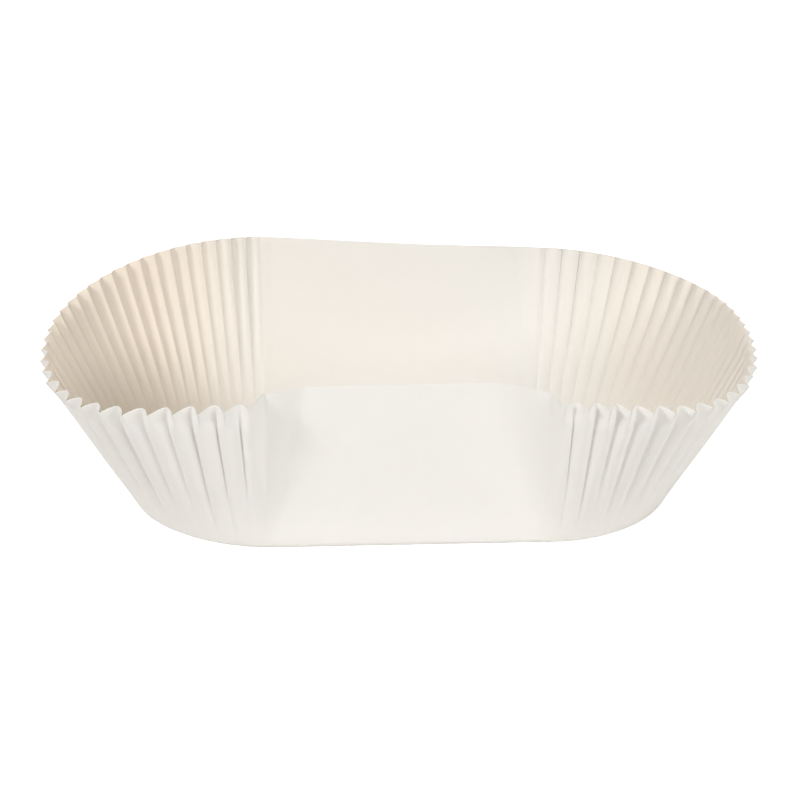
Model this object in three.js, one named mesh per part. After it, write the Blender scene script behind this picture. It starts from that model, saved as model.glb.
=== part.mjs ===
// A fluted paper liner for a 2 lb loaf tin, in millimetres, +Z up, with the length along X.
// One sheet of baking paper is pressed into a flat base with two straight sides and two round ends. A wall
// stands up from it: plain panels along the straight sides, and fine flutes round the ends, where the press
// gathers the spare paper and lets the wall lean out. The origin is the middle of the base's underside.

import * as THREE from "three";
import { LoftGeometry } from "three/addons/geometries/LoftGeometry.js";
import { mergeGeometries, mergeVertices } from "three/addons/utils/BufferGeometryUtils.js";

// The sheet and the flat base
const sheet = 0.1; // thickness of the paper
const baseWidth = 84; // flat part, between the folds of the two long sides
const panelLength = 93; // straight side of the base, between the two round ends
const foldRadius = 2.5; // outside radius of the fold between base and wall

// The wall at five places round each end: its front corner, front quarter, tip, rear quarter and rear corner.
// The paper is soft, so no two stand quite alike. height is along the paper, and lean is in degrees.
const leftEnd = { lean: [17, 26.5, 29.7, 24.4, 16.5], height: [64, 60.5, 60.7, 66.8, 70] };
const rightEnd = { lean: [17.9, 29.1, 27.5, 29.8, 25.3], height: [64.2, 63.1, 62, 63.6, 65.8] };
const frontLean = 11; // degrees, at the middle of each long side
const rearLean = 15;
const cornerSplay = 5; // degrees that a panel's edges turn out towards the ends
const frontReach = [1.04, 0.945]; // how far the front edge is let out at its left corner and drawn in at its right

// The flutes
const flutesPerEnd = 34;
const fluteFill = 0.92; // share of the spare paper that stands as flute depth, the rest is in rounded crests
const crestShape = 1.25; // lower makes the crests broader and rounder between the same sharp valleys
const frontTucks = [15, 6.5]; // at the rim, the strips of the front panel that bend in to meet the flutes
const rearTucks = [5, 5];
const tuckStart = 0.8; // the same strips at the base

// How finely the sheet is drawn
const flutePhases = [0, 0.12, 0.32, 0.5, 0.68, 0.88]; // places on one flute, from valley to valley
const panelSteps = 6;
const wallRows = [0.12, 0.34, 0.65, 1]; // shares of the wall's height
const foldRows = 2;

const baseRadius = baseWidth / 2;
const halfPanel = panelLength / 2;
const quarterTurn = Math.PI / 2;
const radians = THREE.MathUtils.degToRad;

// Height of the paper across one flute, from -1 in the valleys at phase 0 and 1 to 1 on the crest between.
// The crests are round, as the press bends them over its ribs, and the valleys are sharp.
function fluteWave(phase) {
  return 2 * Math.sin(Math.PI * phase) ** crestShape - 1;
}

// A smooth curve through values at even steps of turn: the one polynomial through them in the turn's sine.
function between(values, turn) {
  const places = values.map((_, i) => -Math.cos((i * Math.PI) / (values.length - 1)));
  const weight = (i) =>
    places.reduce((product, place, j) => {
      return j === i ? product : (product * (Math.sin(turn) - place)) / (places[i] - place);
    }, 1);
  return values.reduce((sum, value, i) => sum + value * weight(i), 0);
}

// A point on the edge of the flat base, with the front edge let out or drawn in.
function footAt(x, y) {
  const share = THREE.MathUtils.clamp(x / panelLength + 0.5, 0, 1);
  const reach = THREE.MathUtils.lerp(frontReach[0], frontReach[1], share);
  return new THREE.Vector2(x, y < 0 ? y * reach : y);
}

// A station is one place on the outline. foot is its point on the straight or round edge of the flat base,
// facing is the way that the wall leans there, and inset is how far its point on the wall has moved along
// the straight side to make room for the tucked strip.
function endStation(side, turn, wave) {
  const facing = turn - radians(cornerSplay) * Math.sin(turn);
  const end = side < 0 ? leftEnd : rightEnd;
  return {
    foot: footAt(side * (halfPanel + baseRadius * Math.cos(turn)), baseRadius * Math.sin(turn)),
    facing: new THREE.Vector2(side * Math.cos(facing), Math.sin(facing)),
    lean: between(end.lean, turn),
    height: between(end.height, turn),
    pitch: Math.PI / flutesPerEnd,
    wave,
    inset: () => 0,
  };
}

// One round end, from its corner at the front to its corner at the rear. Both corners are valleys.
function endStations(side) {
  const stations = [];
  for (let flute = 0; flute < flutesPerEnd; flute += 1) {
    for (const phase of flutePhases) {
      const turn = ((flute + phase) / flutesPerEnd) * Math.PI - quarterTurn;
      stations.push(endStation(side, turn, fluteWave(phase)));
    }
  }
  stations.push(endStation(side, quarterTurn, fluteWave(0)));
  return stations;
}

// The plain part of one long side, from -X to +X, between its two tucked strips.
function panelStations(side, tucks) {
  const stations = [];
  const left = endStation(-1, side * quarterTurn, 0);
  const right = endStation(1, side * quarterTurn, 0);
  const middleLean = side < 0 ? frontLean : rearLean;
  for (let step = 0; step <= panelSteps; step += 1) {
    const share = (2 * step) / panelSteps - 1;
    const splay = radians(cornerSplay) * share;
    const cornerLean = THREE.MathUtils.lerp(left.lean, right.lean, step / panelSteps);
    const tuck = share < 0 ? tucks[0] : tucks[1];
    stations.push({
      foot: footAt(share * halfPanel, side * baseRadius),
      facing: new THREE.Vector2(Math.sin(splay), side * Math.cos(splay)),
      lean: middleLean + (cornerLean - middleLean) * share ** 2,
      height: THREE.MathUtils.lerp(left.height, right.height, step / panelSteps),
      pitch: 0,
      wave: 0,
      inset: (rise) => share * (tuckStart + (tuck - tuckStart) * rise),
    });
  }
  return stations;
}

// The whole outline, counter-clockwise seen from above.
function outline() {
  return [
    ...panelStations(-1, frontTucks),
    ...endStations(1),
    ...panelStations(1, rearTucks).reverse(),
    ...endStations(-1).reverse(),
  ];
}

// The section of the sheet at a station, at a distance along the paper from the edge of the flat base:
// how far out and up it has come, and which way its outer face looks.
function section(station, along) {
  const lean = radians(station.lean);
  const bend = Math.min(along / foldRadius, quarterTurn - lean);
  const straight = along - bend * foldRadius;
  return {
    out: foldRadius * Math.sin(bend) + straight * Math.sin(lean),
    up: foldRadius * (1 - Math.cos(bend)) + straight * Math.cos(lean),
    faceOut: Math.sin(bend),
    faceUp: -Math.cos(bend),
  };
}

// Depth of a flute from valley to crest. The paper between two valleys is as long as it was in the flat
// blank, and the wall leaves it less room, so the rest of it stands up as the two flanks of the flute.
function fluteDepth(station, along, out) {
  const paper = station.pitch * (baseRadius + along);
  const room = station.pitch * (baseRadius + out);
  return (fluteFill * Math.sqrt(Math.max(paper ** 2 - room ** 2, 0))) / 2;
}

// A point on the sheet's outer face.
function outerPoint(station, along) {
  const { out, up, faceOut, faceUp } = section(station, along);
  const proud = (station.wave * fluteDepth(station, along, out)) / 2;
  const reach = out + proud * faceOut;
  return new THREE.Vector3(
    station.foot.x - station.inset(along / station.height) + station.facing.x * reach,
    station.foot.y + station.facing.y * reach,
    up + proud * faceUp,
  );
}

// Distances along the paper of the rows that the sheet is drawn with, from the base's edge to the rim.
function rowsAt(station) {
  const fold = foldRadius * (quarterTurn - radians(station.lean));
  const rise = station.height - fold;
  const rows = [];
  for (let row = 0; row <= foldRows; row += 1) rows.push((fold * row) / foldRows);
  for (const share of wallRows) rows.push(fold + rise * share);
  return rows;
}

// Rings of points on the outer face, from the edge of the flat base to the rim.
function outerRings(stations) {
  const columns = stations.map((station) => rowsAt(station).map((along) => outerPoint(station, along)));
  return columns[0].map((_, row) => columns.map((column) => column[row]));
}

// The same rings moved in by the sheet's thickness, square to the outer face.
function innerRings(rings) {
  return rings.map((ring, row) =>
    ring.map((point, i) => {
      if (row === 0) return point.clone().setZ(sheet);
      const above = rings[Math.min(row + 1, rings.length - 1)][i];
      const below = rings[row - 1][i];
      const next = ring[(i + 1) % ring.length];
      const last = ring.at(i - 1);
      const rise = above.clone().sub(below);
      const outward = next.clone().sub(last).cross(rise).normalize();
      return point.clone().addScaledVector(outward, -sheet);
    }),
  );
}

// The base's middle line, under each station, where the flat of the base closes.
function spineRing(stations, level) {
  return stations.map(
    (station) => new THREE.Vector3(THREE.MathUtils.clamp(station.foot.x, -halfPanel, halfPanel), 0, level),
  );
}

// The same skin seen from its other side.
function turnedOver(skin) {
  skin.setIndex(Array.from(skin.index.array).reverse());
  return skin;
}

// One closed body from skins that meet: shared vertices are merged, and faces closed up to a line dropped.
function closedBody(skins) {
  const bare = skins.map((skin) => {
    const copy = new THREE.BufferGeometry();
    copy.setAttribute("position", skin.getAttribute("position"));
    return copy.setIndex(skin.index);
  });
  const merged = mergeVertices(mergeGeometries(bare));
  const kept = [];
  for (let i = 0; i < merged.index.count; i += 3) {
    const corners = [0, 1, 2].map((k) => merged.index.getX(i + k));
    if (new Set(corners).size === 3) kept.push(...corners);
  }
  merged.setIndex(kept);
  merged.computeVertexNormals();
  return merged;
}

// Both skins are lofted upwards, so that they are cut into triangles alike and stay a sheet apart.
function linerGeometry() {
  const stations = outline();
  const outside = outerRings(stations);
  const inside = innerRings(outside);
  const outerSkin = new LoftGeometry([spineRing(stations, 0), ...outside]);
  const innerSkin = new LoftGeometry([spineRing(stations, sheet), ...inside]);
  const rim = new LoftGeometry([outside.at(-1), inside.at(-1)]);
  return closedBody([outerSkin, turnedOver(innerSkin), rim]);
}

const paper = new THREE.MeshStandardMaterial({ color: 0xf3f1ea, roughness: 0.85, metalness: 0 });
paper.name = "baking_paper";

const liner = new THREE.Mesh(linerGeometry(), paper);
liner.name = "liner";

const part = new THREE.Group();
part.name = "loaf_tin_liner";
part.add(liner);

export default part;
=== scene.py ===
# A fluted loaf tin liner of greaseproof paper. One sheet is pressed into a flat base with round ends, two
# plain sides and finely fluted ends. The sheet is laid out by its outline, a node tree presses the flutes
# into it, and the stage lights it on a white floor.

import math

import bpy
import numpy as np
from bpy.props import FloatProperty, IntProperty, PointerProperty, StringProperty
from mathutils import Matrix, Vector


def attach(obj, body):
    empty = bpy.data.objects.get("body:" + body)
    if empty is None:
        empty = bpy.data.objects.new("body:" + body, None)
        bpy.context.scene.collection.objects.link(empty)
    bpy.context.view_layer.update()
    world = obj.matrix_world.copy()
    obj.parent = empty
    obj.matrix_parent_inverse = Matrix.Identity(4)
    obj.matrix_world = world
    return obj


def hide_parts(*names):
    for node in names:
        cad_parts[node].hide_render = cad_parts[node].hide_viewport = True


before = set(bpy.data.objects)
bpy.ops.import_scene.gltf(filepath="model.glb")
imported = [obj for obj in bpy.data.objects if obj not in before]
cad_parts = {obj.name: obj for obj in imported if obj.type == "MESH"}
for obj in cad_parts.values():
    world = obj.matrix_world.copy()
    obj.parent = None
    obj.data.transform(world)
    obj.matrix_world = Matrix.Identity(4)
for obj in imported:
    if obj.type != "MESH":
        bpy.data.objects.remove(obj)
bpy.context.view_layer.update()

bl_info = {
    "name": "Loaf Tin Liner",
    "version": (1, 0, 0),
    "blender": (4, 5, 0),
    "location": "View3D > Sidebar > Loaf Liner",
    "description": "Makes a fluted paper liner for a loaf tin and a white stage to show it on",
    "category": "Add Mesh",
}

MM = 0.001

# The wall's lean from upright in degrees and its height along the paper in mm, at five places round each
# end: the front corner, the front quarter, the tip, the rear quarter and the rear corner
LEFT_END = {"lean": (17.0, 26.5, 29.7, 24.4, 16.5), "height": (64.0, 60.5, 60.7, 66.8, 70.0)}
RIGHT_END = {"lean": (17.9, 29.1, 27.5, 29.8, 25.3), "height": (64.2, 63.1, 62.0, 63.6, 65.8)}

# In the pairs down to CROWDING the first value is for the left end or corner and the second for the right.
# How far out the front edge of the relaxed sheet stands, as a share of the base's half width
FRONT_REACH = (1.04, 0.945)

# How far in mm the folds at the panels' edges stand to the right of the round ends' corners, and how fast
# that fades towards the base's middle line
FRONT_SLIDE = (3.4, 1.8)
REAR_SLIDE = (0.0, -1.8)
SLIDE_FADE = 4

# How many degrees less the front panel's edges lean than the flutes beside them, and how fast that fades
# over the first flute
EDGE_DROP = (5.2, 3.5)
DROP_FADE = 1.5

# The strips beside the two edges of each panel, in mm at the rim. Over the first the lean goes from that of
# the panel's middle to that of its edge, and over the second the sheet bends in to meet the flutes. At the
# base the strips are narrow, so that on the wall they are triangles. The rear panel's lean changes slowly
# over all of it instead.
FRONT_TURNS = (12.5, 22.0)
FRONT_TUCKS = (12.5, 6.5)
REAR_TUCKS = (5.0, 5.0)
STRIP_AT_BASE = 0.8

# How sharply the lean turns at the inner side of those strips: 1 makes a crease and more a soft bend
FRONT_BENDS = (1.0, 1.8)
REAR_BEND = 2.0

# How much closer together the flutes stand towards the rear, over which share of the end that changes, and
# in how many steps it is worked out
CROWDING = (0.2, 0.12)
CROWDING_PASSAGE = 0.12
CROWDING_STEPS = 2000

# The flutes of the right end are numbered from here on, those of the left end from 0
RIGHT_END_NUMBER = 100

# How finely the sheet is laid out. Over 1, rim crowding sets the wall's rows closer together at the rim.
SAMPLES_PER_FLUTE = 16
PANEL_STEPS = 60
WALL_ROWS = 30
FOLD_ROWS = 3
BASE_ROWS = 4
RIM_CROWDING = 1.5

# Slow noises along the row of flutes, which make them differ: how often each changes in one flute, and
# where on it the row begins. Each step of the seed moves them on by so many flutes.
WIDTH_NOISE = (0.4, 3.1)
START_NOISE = (1.1, 41.0)
DEPTH_NOISE = (0.8, 77.0)
SEED_STEP = 17.3

# The share of the unevenness that sways the flutes' places along the row, while their depth takes all of it
WIDTH_SWAY = 0.5

# The share of the wall's rise over which a flute comes up to its depth: its mean, the least that it can be
# and the range that the noise spreads over
START_MEAN = 0.5
START_LEAST = 0.05
START_RANGE = 0.6

# The power of the wave in the open folds, and the share of its depth that a flute has where they are closed
LOBE_POWER = 0.9
CLOSED_DEPTH = 0.66

# Stretches of x and y in mm. Over the first two the crests turn tight, towards the rear right. Over the
# last the folds' opening goes from whole at the front to the rear's share.
TIGHT_FROM_X = (20, 50)
TIGHT_FROM_Y = (0, 30)
OPENING_FADES = (-20, 30)
REAR_OPENING = 0.3

# Soft dents: how many of them there are to a metre, and the share of the wall's rise over which they begin
DENTS_PER_METRE = 26.0
DENTS_BEGIN = 0.2

# Points of the pressed sheet closer than this, in mm, become one
WELD = 0.001

# Greaseproof paper, in mm: clouds of denser pulp, and felted fibres, which are drawn this coarse so that
# they show, where the real ones are under 0.1 mm wide. The last is the share of light that gets through.
CLOUD_SIZE = 6
FIBRE_SIZE = 0.5
FIBRE_HEIGHT = 0.05
LIGHT_THROUGH = 0.12

# How much painted warm shade the inner face takes, from 0 to 1, at places along the length in mm
PAINTED_SHADE_PLACES = (-85, -46.5, 46.5, 80)
INNER_PAINTED_SHADE = (1.0, 0.12, 0.0, 0.5)

# The floor lies this far under the base, in mm, and glows this much where it is seen
FLOOR_GAP = 0.02
FLOOR_COLOUR = "EAEAEA"
FLOOR_GLOW = 0.8

# Where each lamp stands and how wide it is, in metres. All of them face one point above the base.
LAMPS = {
    "key_softbox": ((-1.31, -1.02, 1.12), 0.6),
    "right_fill": ((1.24, -1.33, 0.85), 0.9),
    "rear_light": ((0, 1.53, 1.29), 0.8),
}
LAMP_TARGET = (0, 0, 0.03)


class LinerSizes(bpy.types.PropertyGroup):
    """Sizes of the paper and its press"""

    panel_length: FloatProperty(
        name="Panel Length", description="Straight side of the base", default=93 * MM, unit="LENGTH"
    )
    base_radius: FloatProperty(
        name="Base Radius", description="Radius of the base's round ends", default=42 * MM, unit="LENGTH"
    )
    fold_radius: FloatProperty(
        name="Fold Radius", description="Radius of the fold at the base", default=2.5 * MM, unit="LENGTH"
    )
    front_lean: FloatProperty(
        name="Front Lean", description="Lean of its middle", default=math.radians(5.4), unit="ROTATION"
    )
    rear_lean: FloatProperty(
        name="Rear Lean", description="Lean of its middle", default=math.radians(15), unit="ROTATION"
    )
    corner_splay: FloatProperty(
        name="Corner Splay", description="Turn of a panel's edges", default=math.radians(5), unit="ROTATION"
    )
    sheet: FloatProperty(
        name="Sheet", description="Thickness of the paper", default=0.1 * MM, unit="LENGTH"
    )
    left_flutes: IntProperty(name="Left Flutes", description="Flutes round the left end", default=32)
    right_flutes: IntProperty(name="Right Flutes", description="Flutes round the right end", default=33)
    fill: FloatProperty(
        name="Fill", description="Share of the spare paper in the flutes", default=0.9, subtype="FACTOR"
    )
    crest: FloatProperty(name="Crest", description="Lower is broader crests and tighter folds", default=0.5)
    opening: FloatProperty(
        name="Opening", description="Share of the height where folds open", default=0.84, subtype="FACTOR"
    )
    uneven: FloatProperty(
        name="Uneven", description="How much the flutes differ", default=0.35, subtype="FACTOR"
    )
    crumple: FloatProperty(
        name="Crumple", description="Height of soft dents in the sheet", default=0.5 * MM, unit="LENGTH"
    )
    seed: IntProperty(name="Seed", description="Picks the pattern of unevenness", default=7)


class LinerColours(bpy.types.PropertyGroup):
    """Colours of the paper"""

    paper: StringProperty(name="Paper", description="sRGB hex of the outer face", default="F2F1ED")
    # The cream is painted warm shade for the inner face, not a colour of the paper itself
    painted_shade_colour: StringProperty(name="Cream", description="sRGB hex of the warmest inner face", default="F3E9DB")
    through: StringProperty(name="Through", description="sRGB hex of light through it", default="F8E2BE")


class StageSettings(bpy.types.PropertyGroup):
    """Floor, lights and camera"""

    floor: FloatProperty(name="Floor", description="Side of the floor", default=8.0, unit="LENGTH")
    room: FloatProperty(name="Room Light", description="Strength of the light all round", default=0.03)
    key: FloatProperty(name="Key", description="Power of the left softbox", default=25.5, unit="POWER")
    fill: FloatProperty(name="Fill", description="Power of the right fill", default=24.0, unit="POWER")
    rear: FloatProperty(name="Rear", description="Power of the light behind", default=14.0, unit="POWER")
    lens: FloatProperty(name="Lens", description="Focal length in mm", default=227.07, unit="CAMERA")
    distance: FloatProperty(name="Distance", description="Camera to liner", default=1.7, unit="LENGTH")
    elevation: FloatProperty(
        name="Elevation", description="Camera's height angle", default=math.radians(25.2), unit="ROTATION"
    )
    aim_height: FloatProperty(
        name="Aim Height", description="Height that the camera aims at", default=33.2 * MM, unit="LENGTH"
    )


def placed(values, turn):
    """A smooth curve through five values at equal steps of turn, from -90 to 90 degrees."""
    places = -np.cos(np.linspace(0, math.pi, len(values)))
    return np.polyval(np.polyfit(places, values, len(values) - 1), np.sin(turn))


def crowded(flutes, crowding):
    """Even steps along the row of flutes, from 0 to their number, and the turn of each: wide flutes in the
    front half of the end and close ones in its rear half, with a short passage between them at the tip."""
    share = np.linspace(0, 1, CROWDING_STEPS + 1)
    at_tip = np.log(np.cosh(0.5 / CROWDING_PASSAGE))
    bend = CROWDING_PASSAGE * (at_tip - np.log(np.cosh((share - 0.5) / CROWDING_PASSAGE)))
    number = np.linspace(0, flutes, flutes * SAMPLES_PER_FLUTE + 1)
    turned = np.interp(number / flutes, share - crowding * bend, share)
    return number, (turned - 0.5) * math.pi


def end_outline(sizes, side):
    """Stations round one end, from its front corner to its rear corner. They count as on a panel's edge, so
    they keep their own lean and the whole depth of their flutes."""
    hand = 0 if side < 0 else 1
    end = (LEFT_END, RIGHT_END)[hand]
    number, turn = crowded((sizes.left_flutes, sizes.right_flutes)[hand], CROWDING[hand])
    facing = turn - sizes.corner_splay * np.sin(turn)
    out = sizes.panel_length / 2 + sizes.base_radius * np.cos(turn)
    held = math.radians(EDGE_DROP[hand]) * np.clip(1 - number, 0, 1) ** DROP_FADE
    lean = np.radians(placed(end["lean"], turn)) - held
    ones = np.ones(len(turn))
    return {
        "foot": np.column_stack([side * out, sizes.base_radius * np.sin(turn)]),
        "facing": np.column_stack([side * np.cos(facing), np.sin(facing)]),
        "lean": lean,
        "edge_lean": lean,
        "height": placed(end["height"], turn) * MM,
        "flute": number + hand * RIGHT_END_NUMBER,
        "pitch": np.gradient(turn, number),
        "edge": np.zeros(len(turn)),
        "turn_at_base": ones,
        "turn_at_rim": ones,
        "bend": ones,
        "tuck_at_rim": ones,
    }


def panel_outline(sizes, side):
    """Stations along one long side, from -X to +X, without the two that its corners share with the ends."""
    share = np.linspace(-1, 1, PANEL_STEPS + 1)[1:-1]
    half = sizes.panel_length / 2
    splay = sizes.corner_splay * share
    front = side < 0
    corner = 0 if front else -1
    drops = EDGE_DROP if front else (0, 0)
    turns = FRONT_TURNS if front else (half / MM, half / MM)
    tucks = FRONT_TUCKS if front else REAR_TUCKS
    bends = FRONT_BENDS if front else (REAR_BEND, REAR_BEND)
    blend = (share + 1) / 2
    edge_leans = [end["lean"][corner] - drop for end, drop in zip((LEFT_END, RIGHT_END), drops)]
    heights = [end["height"][corner] for end in (LEFT_END, RIGHT_END)]
    flutes = np.where(share < 0, sizes.left_flutes, sizes.right_flutes)
    return {
        "foot": np.column_stack([half * share, np.full(len(share), side * sizes.base_radius)]),
        "facing": np.column_stack([np.sin(splay), side * np.cos(splay)]),
        "lean": np.full(len(share), sizes.front_lean if front else sizes.rear_lean),
        "edge_lean": np.radians(np.interp(blend, (0, 1), edge_leans)),
        "height": np.interp(blend, (0, 1), heights) * MM,
        "flute": np.where(share < 0, 0, RIGHT_END_NUMBER) + (0 if front else flutes),
        "pitch": math.pi / flutes,
        "edge": half * (1 - np.abs(share)),
        "turn_at_base": np.full(len(share), STRIP_AT_BASE * MM if front else half),
        "turn_at_rim": np.where(share < 0, *turns) * MM,
        "bend": np.where(share < 0, *bends),
        "tuck_at_rim": np.where(share < 0, *tucks) * MM,
    }


def relaxed(sizes, foot):
    """The outline's points with the front edge let out at the left and drawn in at the right, and with the
    panels' edges slid along it."""
    x, y = foot.T
    ends = (-sizes.panel_length / 2, sizes.panel_length / 2)
    reach = np.interp(x, ends, FRONT_REACH)
    slide = np.where(y < 0, np.interp(x, ends, FRONT_SLIDE), np.interp(x, ends, REAR_SLIDE))
    near = (y / sizes.base_radius) ** SLIDE_FADE
    return np.column_stack([x + slide * MM * near, np.where(y < 0, y * reach, y)])


def whole_outline(sizes):
    """All stations in one ring, counter-clockwise seen from above. Its spine is the x of each station's
    point on the base's middle line, which stays where it is when the outline relaxes."""
    front, rear = (panel_outline(sizes, side) for side in (-1, 1))
    left, right = (end_outline(sizes, side) for side in (-1, 1))
    turned = [{name: values[::-1] for name, values in part.items()} for part in (rear, left)]
    ring = {name: np.concatenate([part[name] for part in (front, right, *turned)]) for name in front}
    half = sizes.panel_length / 2
    ring["spine"] = np.clip(ring["foot"][:, 0], -half, half)
    ring["foot"] = relaxed(sizes, ring["foot"])
    return ring


def in_strip(ring, at_base, at_rim, rise):
    """How far into the strip beside a panel's edge each station is: 0 outside it and 1 on the edge."""
    return np.clip(1 - ring["edge"] / (at_base + (at_rim - at_base) * rise), 0, 1)


def wall_rows(sizes, ring):
    """Points, outward directions and flute depths of the wall's rows, from the base's edge to the rim. The
    paper between two folds is as long as in the flat blank, where it had more room, and a flute's depth
    takes up what is spare."""
    fold = sizes.fold_radius * (math.pi / 2 - ring["lean"])
    rows = []
    for row in range(FOLD_ROWS + WALL_ROWS + 1):
        in_fold = min(row / FOLD_ROWS, 1)
        on_wall = 1 - (1 - max(row - FOLD_ROWS, 0) / WALL_ROWS) ** RIM_CROWDING
        along = fold * in_fold + (ring["height"] - fold) * on_wall
        rise = along / ring["height"]
        turned = in_strip(ring, ring["turn_at_base"], ring["turn_at_rim"], rise)
        lean = ring["lean"] + (ring["edge_lean"] - ring["lean"]) * turned ** ring["bend"]
        bend = np.minimum(along / sizes.fold_radius, math.pi / 2 - lean)
        straight = along - bend * sizes.fold_radius
        out = sizes.fold_radius * np.sin(bend) + straight * np.sin(lean)
        up = sizes.fold_radius * (1 - np.cos(bend)) + straight * np.cos(lean)
        across = np.column_stack([ring["facing"] * np.sin(bend)[:, None], -np.cos(bend)])
        place = np.column_stack([ring["foot"] + ring["facing"] * out[:, None], up])
        spare = np.maximum((sizes.base_radius + along) ** 2 - (sizes.base_radius + out) ** 2, 0)
        depth = sizes.fill * ring["pitch"] * np.sqrt(spare) / 2
        tucked = in_strip(ring, STRIP_AT_BASE * MM, ring["tuck_at_rim"], rise)
        rows.append({"place": place, "across": across, "depth": depth * tucked, "rise": rise})
    return rows


def base_rows(ring):
    """Points of the flat base, from its middle line out to just inside its edge."""
    nothing = np.zeros(len(ring["spine"]))
    middle = np.column_stack([ring["spine"], nothing])
    down = np.tile([0.0, 0.0, -1.0], (len(middle), 1))
    rows = []
    for row in range(BASE_ROWS):
        flat = middle + (ring["foot"] - middle) * (row / BASE_ROWS)
        place = np.column_stack([flat, nothing])
        rows.append({"place": place, "across": down, "depth": nothing, "rise": nothing})
    return rows


def laid_out_sheet(sizes):
    """The sheet before its flutes are pressed, as a mesh that carries what the press needs: the way to
    press each point, how deep, how far up the wall it is, and the number of its flute."""
    ring = whole_outline(sizes)
    rows = base_rows(ring) + wall_rows(sizes, ring)
    sheet = {name: np.concatenate([row[name] for row in rows]) for name in rows[0]}
    sheet["flute"] = np.tile(ring["flute"], len(rows))
    count = len(ring["flute"])
    here = np.arange(count)
    beside = (here + 1) % count
    first = np.column_stack([here, beside, beside + count, here + count])
    faces = np.concatenate([first + row * count for row in range(len(rows) - 1)])
    mesh = bpy.data.meshes.new("laid_out_sheet")
    mesh.from_pydata(sheet["place"].tolist(), [], faces.tolist())
    across = mesh.attributes.new("across", "FLOAT_VECTOR", "POINT")
    across.data.foreach_set("vector", sheet["across"].ravel())
    for name in ("depth", "rise", "flute"):
        mesh.attributes.new(name, "FLOAT", "POINT").data.foreach_set("value", sheet[name])
    return mesh


def linear(hex_colour):
    """The linear RGBA of an sRGB hex colour such as F2F1ED."""
    channels = [int(hex_colour[start : start + 2], 16) / 255 for start in (0, 2, 4)]
    return [c / 12.92 if c <= 0.04045 else ((c + 0.055) / 1.055) ** 2.4 for c in channels] + [1.0]


def bare_tree(owner):
    """The empty node tree of a material or a world."""
    owner.use_nodes = True
    owner.node_tree.nodes.clear()
    return owner.node_tree


def add(tree, kind, inputs=None, **settings):
    """A node of a kind, with its settings, and its inputs set to values or linked from sockets. A node that
    is given for an input stands for its first output."""
    node = tree.nodes.new(kind)
    for name, value in settings.items():
        setattr(node, name, value)
    for name, value in (inputs or {}).items():
        if isinstance(value, bpy.types.Node):
            value = value.outputs[0]
        if isinstance(value, bpy.types.NodeSocket):
            tree.links.new(value, node.inputs[name])
        else:
            node.inputs[name].default_value = value
    return node


def slow_noise(tree, flute, seed, rate, shift):
    """Smooth noise from -0.5 to 0.5 that changes along the row of flutes."""
    seeded = add(tree, "ShaderNodeMath", {0: seed, 1: SEED_STEP}, operation="MULTIPLY")
    begin = add(tree, "ShaderNodeMath", {0: seeded, 1: shift}, operation="ADD")
    place = add(tree, "ShaderNodeMath", {0: flute, 1: begin}, operation="ADD")
    grain = {"W": place, "Scale": rate, "Detail": 1.0}
    noise = add(tree, "ShaderNodeTexNoise", grain, noise_dimensions="1D")
    return add(tree, "ShaderNodeMath", {0: noise, 1: 0.5}, operation="SUBTRACT")


def flute_sections(tree, place, crest):
    """Sections of a flute from -1 in its folds to 1 on its crest, at a place along the row: the one with a
    broad crest, the one with a tight crest and the one with open folds."""
    angle = add(tree, "ShaderNodeMath", {0: place, 1: math.pi}, operation="MULTIPLY")
    sine = add(tree, "ShaderNodeMath", {0: angle}, operation="SINE")
    cosine = add(tree, "ShaderNodeMath", {0: angle}, operation="COSINE")
    rib = add(tree, "ShaderNodeMath", {0: sine}, operation="ABSOLUTE")
    pocket = add(tree, "ShaderNodeMath", {0: cosine}, operation="ABSOLUTE")
    sections = []
    for wave, power, way in ((rib, crest, 1.0), (pocket, crest, -1.0), (pocket, LOBE_POWER, -1.0)):
        raised = add(tree, "ShaderNodeMath", {0: wave, 1: power}, operation="POWER")
        spread = {0: raised, 1: 2 * way, 2: -way}
        sections.append(add(tree, "ShaderNodeMath", spread, operation="MULTIPLY_ADD"))
    return sections


def over(value, stretch):
    """Inputs that map a value from 0 to 1 over a stretch that is given in mm."""
    return {"Value": value, "From Min": stretch[0] * MM, "From Max": stretch[1] * MM}


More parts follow.
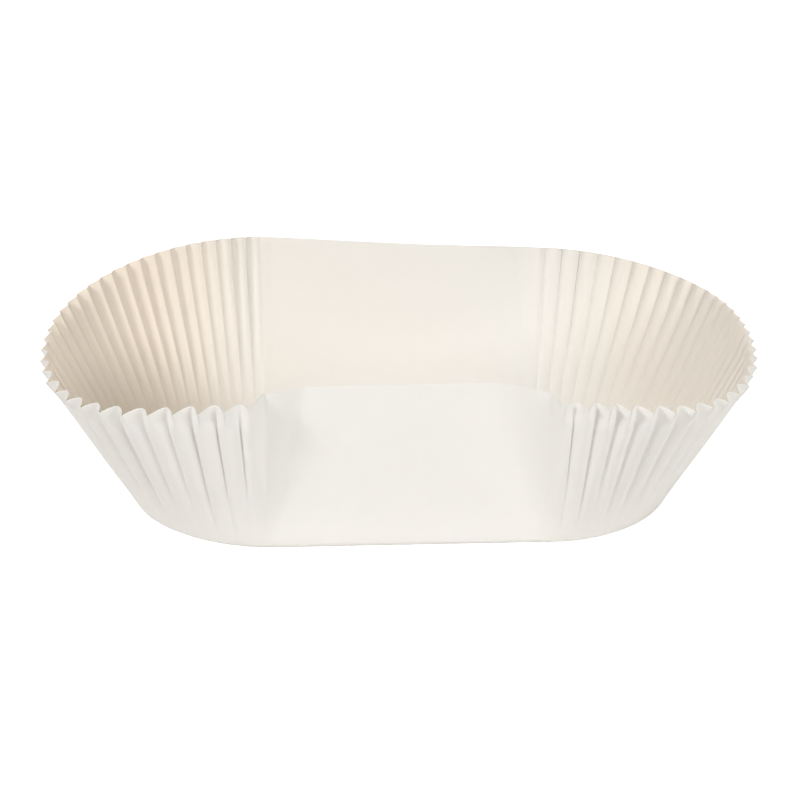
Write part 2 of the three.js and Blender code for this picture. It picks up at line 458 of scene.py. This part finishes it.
def flute_press():
    """The node tree that presses the flutes: the sheet moves along its own normal, by the depth that it has
    spare. On the wall the press leaves broad crests with tight folds between them, and at the rear right it
    is the other way round. Towards the free rim the folds open into round lobes, most at the front, and the
    crests end in points. Slow noise along the row makes them differ."""
    tree = bpy.data.node_groups.new("flute_press", "GeometryNodeTree")
    tree.interface.new_socket("Geometry", in_out="INPUT", socket_type="NodeSocketGeometry")
    for name in ("Crest", "Opening", "Uneven", "Crumple", "Seed"):
        tree.interface.new_socket(name, in_out="INPUT", socket_type="NodeSocketFloat")
    tree.interface.new_socket("Paper", in_out="INPUT", socket_type="NodeSocketMaterial")
    tree.interface.new_socket("Geometry", in_out="OUTPUT", socket_type="NodeSocketGeometry")
    given = add(tree, "NodeGroupInput").outputs
    uneven = given["Uneven"]
    seed = given["Seed"]
    kinds = {"flute": "FLOAT", "rise": "FLOAT", "depth": "FLOAT", "across": "FLOAT_VECTOR"}
    flute, rise, spare, across = (
        add(tree, "GeometryNodeInputNamedAttribute", {"Name": name}, data_type=kind)
        for name, kind in kinds.items()
    )
    position = add(tree, "GeometryNodeInputPosition")
    place = add(tree, "ShaderNodeSeparateXYZ", {0: position}).outputs
    width_noise = slow_noise(tree, flute, seed, *WIDTH_NOISE)
    start_noise = slow_noise(tree, flute, seed, *START_NOISE)
    depth_noise = slow_noise(tree, flute, seed, *DEPTH_NOISE)

    # Where along the row each point is, with flutes of uneven width, and the sections of a flute there
    sway = add(tree, "ShaderNodeMath", {0: uneven, 1: WIDTH_SWAY}, operation="MULTIPLY")
    in_row = add(tree, "ShaderNodeMath", {0: width_noise, 1: sway, 2: flute}, operation="MULTIPLY_ADD")
    broad_crest, tight_crest, open_fold = flute_sections(tree, in_row, given["Crest"])

    # How far each point belongs to the tight crests at the rear right, and to the open folds at the rim
    slow = {"interpolation_type": "SMOOTHSTEP"}
    at_right = add(tree, "ShaderNodeMapRange", over(place["X"], TIGHT_FROM_X), **slow)
    at_rear = add(tree, "ShaderNodeMapRange", over(place["Y"], TIGHT_FROM_Y), **slow)
    rear_right = add(tree, "ShaderNodeMath", {0: at_right, 1: at_rear}, operation="MULTIPLY")
    fading = {**over(place["Y"], OPENING_FADES), "To Min": 1.0, "To Max": REAR_OPENING}
    at_front = add(tree, "ShaderNodeMapRange", fading, **slow)
    at_rim = add(tree, "ShaderNodeMapRange", {"Value": rise, "From Min": given["Opening"]}, **slow)
    opened = add(tree, "ShaderNodeMath", {0: at_rim, 1: at_front}, operation="MULTIPLY")

    # The section that it takes: from broad crests to tight ones, and from closed folds to open ones
    change = add(tree, "ShaderNodeMath", {0: tight_crest, 1: broad_crest}, operation="SUBTRACT")
    turned = {0: change, 1: rear_right, 2: broad_crest}
    closed = add(tree, "ShaderNodeMath", turned, operation="MULTIPLY_ADD")
    change = add(tree, "ShaderNodeMath", {0: open_fold, 1: closed}, operation="SUBTRACT")
    wave = add(tree, "ShaderNodeMath", {0: change, 1: opened, 2: closed}, operation="MULTIPLY_ADD")

    # The flute's depth: nothing at the base, different for each flute, and greatest where its folds open.
    # Half of it stands out from the sheet and half in.
    spread = {0: start_noise, 1: START_RANGE, 2: START_MEAN}
    start = add(tree, "ShaderNodeMath", spread, operation="MULTIPLY_ADD")
    start = add(tree, "ShaderNodeMath", {0: start, 1: START_LEAST}, operation="MAXIMUM")
    begun = add(tree, "ShaderNodeMapRange", {"Value": rise, "From Max": start}, **slow)
    strength = add(tree, "ShaderNodeMath", {0: depth_noise, 1: uneven, 2: 1.0}, operation="MULTIPLY_ADD")
    grown = {0: opened, 1: 1 - CLOSED_DEPTH, 2: CLOSED_DEPTH}
    stands = add(tree, "ShaderNodeMath", grown, operation="MULTIPLY_ADD")
    reached = add(tree, "ShaderNodeMath", {0: begun, 1: stands}, operation="MULTIPLY")
    depth = add(tree, "ShaderNodeMath", {0: spare, 1: strength}, operation="MULTIPLY")
    depth = add(tree, "ShaderNodeMath", {0: depth, 1: reached}, operation="MULTIPLY")
    pressed = add(tree, "ShaderNodeMath", {0: wave, 1: depth}, operation="MULTIPLY")
    pressed = add(tree, "ShaderNodeMath", {0: pressed, 1: 0.5}, operation="MULTIPLY")

    # Soft dents, which leave the base flat. Their noise goes from 0 to 1, so it is set about 0 and doubled.
    grain = {"Scale": DENTS_PER_METRE, "Detail": 2.0, "Roughness": 0.45, "W": seed}
    dents = add(tree, "ShaderNodeTexNoise", grain, noise_dimensions="4D")
    dents = add(tree, "ShaderNodeMath", {0: dents, 1: 0.5}, operation="SUBTRACT")
    dents = add(tree, "ShaderNodeMath", {0: dents, 1: given["Crumple"]}, operation="MULTIPLY")
    above_base = add(tree, "ShaderNodeMapRange", {"Value": rise, "From Max": DENTS_BEGIN})
    dents = add(tree, "ShaderNodeMath", {0: dents, 1: above_base}, operation="MULTIPLY")
    dents = add(tree, "ShaderNodeMath", {0: dents, 1: 2.0}, operation="MULTIPLY")

    lift = add(tree, "ShaderNodeMath", {0: pressed, 1: dents}, operation="ADD")
    offset = add(tree, "ShaderNodeVectorMath", {0: across, "Scale": lift}, operation="SCALE")
    moved = add(tree, "GeometryNodeSetPosition", {"Geometry": given["Geometry"], "Offset": offset})
    merged = add(tree, "GeometryNodeMergeByDistance", {"Geometry": moved, "Distance": WELD * MM})
    real = add(tree, "GeometryNodeRealizeInstances", {"Geometry": merged})
    finished = add(tree, "GeometryNodeSetMaterial", {"Geometry": real, "Material": given["Paper"]})
    add(tree, "NodeGroupOutput", {"Geometry": finished})
    return tree


def greaseproof_paper(colours):
    """Greaseproof paper, which is beaten and pressed hard: off-white and dull, with a fine felted tooth. It
    lets warm light through, so the hollows of the flutes glow."""
    material = bpy.data.materials.new("greaseproof_paper")
    tree = bare_tree(material)
    place = add(tree, "ShaderNodeTexCoord").outputs["Object"]
    grain = {"Vector": place, "Scale": 1 / (CLOUD_SIZE * MM), "Detail": 3.0}
    clouds = add(tree, "ShaderNodeTexNoise", grain)
    grain = {"Vector": place, "Scale": 1 / (FIBRE_SIZE * MM), "Detail": 4.0}
    fibres = add(tree, "ShaderNodeTexNoise", grain)
    # The inner face is mixed from the paper's colour towards the cream, as painted warm shade
    painted_warm_shade = add(tree, "ShaderNodeAttribute", attribute_name="painted_warm_shade").outputs["Fac"]
    # A Mix node's colours are its inputs 6 and 7 and its output 2
    faces = {0: painted_warm_shade, 6: linear(colours.paper), 7: linear(colours.painted_shade_colour)}
    face = add(tree, "ShaderNodeMix", faces, data_type="RGBA").outputs[2]
    density = add(tree, "ShaderNodeMapRange", {"Value": clouds, "To Min": 0.975, "To Max": 1.0})
    tint = add(tree, "ShaderNodeVectorMath", {0: face, "Scale": density}, operation="SCALE")
    tooth = add(tree, "ShaderNodeBump", {"Height": fibres, "Strength": 0.12, "Distance": FIBRE_HEIGHT * MM})
    rough = add(tree, "ShaderNodeMapRange", {"Value": clouds, "To Min": 0.52, "To Max": 0.66})
    surface = {"Base Color": tint, "Roughness": rough, "IOR": 1.47, "Normal": tooth}
    sheet = add(tree, "ShaderNodeBsdfPrincipled", {**surface, "Specular IOR Level": 0.35})
    glow = {"Color": linear(colours.through), "Normal": tooth}
    through = add(tree, "ShaderNodeBsdfTranslucent", glow)
    both = add(tree, "ShaderNodeMixShader", {0: LIGHT_THROUGH, 1: sheet, 2: through})
    add(tree, "ShaderNodeOutputMaterial", {"Surface": both})
    return material


def paint_warm_shade(mesh):
    """Painted warm shade on each point: none on the outer face, which is the first half of the points, and
    on the inner face most among the folds of the left end, where it stands in for the shade in there."""
    count = len(mesh.vertices)
    places = np.empty(count * 3)
    mesh.vertices.foreach_get("co", places)
    x = places.reshape(-1, 3)[:, 0]
    painted_warm_shade = np.interp(x / MM, PAINTED_SHADE_PLACES, INNER_PAINTED_SHADE)
    painted_warm_shade[: count // 2] = 0
    mesh.attributes.new("painted_warm_shade", "FLOAT", "POINT").data.foreach_set("value", painted_warm_shade)


def pressed_sheet(context, sizes, paper):
    """The sheet with its flutes pressed and its thickness given, as a plain mesh of paper."""
    laid_out = bpy.data.objects.new("laid_out_sheet", laid_out_sheet(sizes))
    context.scene.collection.objects.link(laid_out)
    press = laid_out.modifiers.new("press", "NODES")
    press.node_group = flute_press()
    values = {
        "Crest": sizes.crest,
        "Opening": sizes.opening,
        "Uneven": sizes.uneven,
        "Crumple": sizes.crumple,
        "Seed": float(sizes.seed),
        "Paper": paper,
    }
    for item in press.node_group.interface.items_tree:
        if item.in_out == "INPUT" and item.name in values:
            press[item.identifier] = values[item.name]
    thick = laid_out.modifiers.new("thickness", "SOLIDIFY")
    thick.thickness = sizes.sheet
    thick.offset = -1
    graph = context.evaluated_depsgraph_get()
    mesh = bpy.data.meshes.new_from_object(laid_out.evaluated_get(graph))
    laid_out.modifiers.clear()
    bpy.data.objects.remove(laid_out)
    for name in ("across", "depth", "rise", "flute"):
        mesh.attributes.remove(mesh.attributes[name])
    mesh.name = "pressed_liner"
    mesh.shade_smooth()
    return mesh


class LINER_OT_sheet(bpy.types.Operator):
    """Make the liner from one sheet of paper"""

    bl_idname = "liner.sheet"
    bl_label = "Fluted Liner"
    bl_options = {"REGISTER", "UNDO"}

    def execute(self, context):
        paper = greaseproof_paper(context.scene.liner_colours)
        mesh = pressed_sheet(context, context.scene.liner_sizes, paper)
        # Paints warm shade onto the inner face, most inside the left end
        paint_warm_shade(mesh)
        liner = bpy.data.objects.new("pressed_liner", mesh)
        context.scene.collection.objects.link(liner)
        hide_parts("liner")
        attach(liner, "root")
        return {"FINISHED"}


def rays_that_see(tree):
    """1 for the rays that see the stage plain white, which come from the camera or from a glossy or clear
    surface, and 0 for those that light the liner."""
    ray = add(tree, "ShaderNodeLightPath").outputs
    seen = add(tree, "ShaderNodeMath", {0: ray["Is Camera Ray"], 1: ray["Is Glossy Ray"]}, operation="ADD")
    clear = {0: seen, 1: ray["Is Transmission Ray"]}
    return add(tree, "ShaderNodeMath", clear, operation="ADD", use_clamp=True)


def white_floor():
    """Matt white paint of the floor, which keeps the liner's shadow."""
    material = bpy.data.materials.new("white_floor")
    tree = bare_tree(material)
    glow = add(tree, "ShaderNodeMath", {0: rays_that_see(tree), 1: FLOOR_GLOW}, operation="MULTIPLY")
    matt = add(tree, "ShaderNodeBsdfDiffuse", {"Color": linear(FLOOR_COLOUR)})
    lit = add(tree, "ShaderNodeEmission", {"Color": linear("FFFFFF"), "Strength": glow})
    both = add(tree, "ShaderNodeAddShader", {0: matt, 1: lit})
    add(tree, "ShaderNodeOutputMaterial", {"Surface": both})
    return material


def white_room(strength):
    """A world that is seen plain white and lights the liner softly, at a strength, from all round."""
    world = bpy.data.worlds.new("white_room")
    tree = bare_tree(world)
    room = add(tree, "ShaderNodeBackground", {"Color": linear("FFFFFF"), "Strength": strength})
    white = add(tree, "ShaderNodeBackground", {"Color": linear("FFFFFF"), "Strength": 1.0})
    both = add(tree, "ShaderNodeMixShader", {0: rays_that_see(tree), 1: room, 2: white})
    add(tree, "ShaderNodeOutputWorld", {"Surface": both})
    return world


def add_floor(scene, width):
    """The floor, a square of a width, just under the liner's base."""
    reach = width / 2
    corners = [(-reach, -reach), (reach, -reach), (reach, reach), (-reach, reach)]
    mesh = bpy.data.meshes.new("floor")
    mesh.from_pydata([(x, y, -FLOOR_GAP * MM) for x, y in corners], [], [(0, 1, 2, 3)])
    mesh.materials.append(white_floor())
    floor = bpy.data.objects.new("floor", mesh)
    scene.collection.objects.link(floor)


def add_lamp(scene, name, power):
    """One of the square softboxes, with its power."""
    place, width = LAMPS[name]
    light = bpy.data.lights.new(name, "AREA")
    light.energy = power
    light.size = width
    lamp = bpy.data.objects.new(name, light)
    lamp.location = place
    lamp.rotation_euler = (Vector(LAMP_TARGET) - Vector(place)).to_track_quat("-Z", "Y").to_euler()
    scene.collection.objects.link(lamp)


def add_camera(scene, stage):
    """The camera, in front of the liner and looking down on it."""
    camera = bpy.data.cameras.new("camera")
    camera.lens = stage.lens
    holder = bpy.data.objects.new("camera", camera)
    aim = Vector((0, 0, stage.aim_height))
    back = Vector((0, -math.cos(stage.elevation), math.sin(stage.elevation)))
    holder.location = aim + back * stage.distance
    holder.rotation_euler = (-back).to_track_quat("-Z", "Y").to_euler()
    scene.collection.objects.link(holder)
    scene.camera = holder


class LINER_OT_stage(bpy.types.Operator):
    """Add the white floor, soft lights and the camera"""

    bl_idname = "liner.stage"
    bl_label = "Stage"
    bl_options = {"REGISTER", "UNDO"}

    def execute(self, context):
        scene = context.scene
        stage = scene.liner_stage
        add_floor(scene, stage.floor)
        scene.world = white_room(stage.room)
        add_lamp(scene, "key_softbox", stage.key)
        add_lamp(scene, "right_fill", stage.fill)
        add_lamp(scene, "rear_light", stage.rear)
        add_camera(scene, stage)
        scene.view_settings.view_transform = "Standard"
        return {"FINISHED"}


class LINER_PT_panel(bpy.types.Panel):
    """Lists the liner's operators and settings"""

    bl_idname = "LINER_PT_panel"
    bl_label = "Loaf Liner"
    bl_space_type = "VIEW_3D"
    bl_region_type = "UI"
    bl_category = "Loaf Liner"

    def draw(self, context):
        layout = self.layout
        scene = context.scene
        for operator in OPERATORS:
            layout.operator(operator.bl_idname)
        for group in (scene.liner_sizes, scene.liner_colours, scene.liner_stage):
            box = layout.box()
            for name in group.bl_rna.properties.keys():
                if name not in ("rna_type", "name"):
                    box.prop(group, name)


OPERATORS = (LINER_OT_sheet, LINER_OT_stage)
CLASSES = (LinerSizes, LinerColours, StageSettings, *OPERATORS, LINER_PT_panel)


def register():
    for cls in CLASSES:
        bpy.utils.register_class(cls)
    bpy.types.Scene.liner_sizes = PointerProperty(type=LinerSizes)
    bpy.types.Scene.liner_colours = PointerProperty(type=LinerColours)
    bpy.types.Scene.liner_stage = PointerProperty(type=StageSettings)


def unregister():
    del bpy.types.Scene.liner_stage
    del bpy.types.Scene.liner_colours
    del bpy.types.Scene.liner_sizes
    for cls in reversed(CLASSES):
        bpy.utils.unregister_class(cls)


def main():
    register()
    bpy.ops.liner.sheet()
    bpy.ops.liner.stage()


if __name__ == "__main__":
    main()
